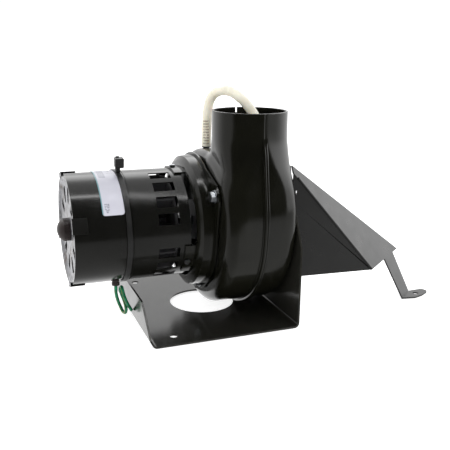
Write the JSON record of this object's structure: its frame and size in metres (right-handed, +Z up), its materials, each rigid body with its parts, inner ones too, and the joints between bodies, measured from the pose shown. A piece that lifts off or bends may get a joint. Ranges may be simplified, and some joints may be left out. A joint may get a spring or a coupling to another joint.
{
  "type": "combustion fan",
  "caption": "Draught blower: round motor on a sheet bracket drives a fan wheel in a black scroll housing with an upright round outlet neck, hose and folded side shield.",
  "frame": {"origin": "axis of the large round opening in the base bracket, on the bracket's underside", "axes": "+X along the motor axis towards the air inlet, the longest direction; +Z up, out of the outlet neck"},
  "size_m": [0.3068, 0.148, 0.1761],
  "materials": {
    "gloss_black_enamel": "gloss black baked enamel",
    "motor_black_paint": "semi-gloss black paint",
    "galvanised_steel": "galvanised sheet",
    "zinc_screws": "bright zinc plate",
    "graphite_seal": "dull carbon",
    "pale_stamped_steel": "plated stamped steel",
    "bronze_bearing": "sintered bronze",
    "black_rubber": "soft dark rubber",
    "laminated_steel": "stacked laminations",
    "enamelled_copper": "varnished copper wire",
    "ground_steel": "ground shaft",
    "cast_aluminium": "as cast",
    "moulded_plastic": "black moulding",
    "black_nylon": "smooth nylon",
    "label_paper": "printed paper, faint marks",
    "green_yellow_insulation": "green with a yellow stripe",
    "cream_vinyl": "milky translucent vinyl"
  },
  "bodies": {
    "frame_body": {"base_bracket": "gloss_black_enamel", "housing_left_half": "gloss_black_enamel", "housing_right_half": "gloss_black_enamel", "adapter_plate": "gloss_black_enamel", "motor_shell": "motor_black_paint", "side_shield": "gloss_black_enamel", "inlet_ring": "galvanised_steel", "inlet_screws": "zinc_screws", "adapter_screws": "zinc_screws", "tab_screws": "zinc_screws", "shield_screws": "zinc_screws", "shaft_seal": "graphite_seal", "rear_end_shield": "pale_stamped_steel", "rear_bearing": "bronze_bearing", "front_bearing": "bronze_bearing", "bearing_cap": "black_rubber", "front_bearing_bracket": "galvanised_steel", "stator_core": "laminated_steel", "stator_windings": "enamelled_copper", "zip_tie": "black_nylon", "rating_label": "label_paper", "lead_grommet": "black_rubber", "ground_wire": "green_yellow_insulation", "hose_barb": "moulded_plastic", "pressure_hose": "cream_vinyl"},
    "rotor": {"shaft": "ground_steel", "rotor_core": "laminated_steel", "rotor_end_rings": "cast_aluminium", "cooling_fan": "moulded_plastic", "wheel_hub": "galvanised_steel", "wheel_set_screw": "zinc_screws", "wheel_backplate": "galvanised_steel", "wheel_blades": "galvanised_steel"}
  },
  "joints": [
    {"name": "rotor_spin", "type": "hinge", "parent": "frame_body", "child": "rotor", "pos_m": [0, 0, 0.0715], "axis": [-1, 0, 0], "continuous": true}
  ]
}
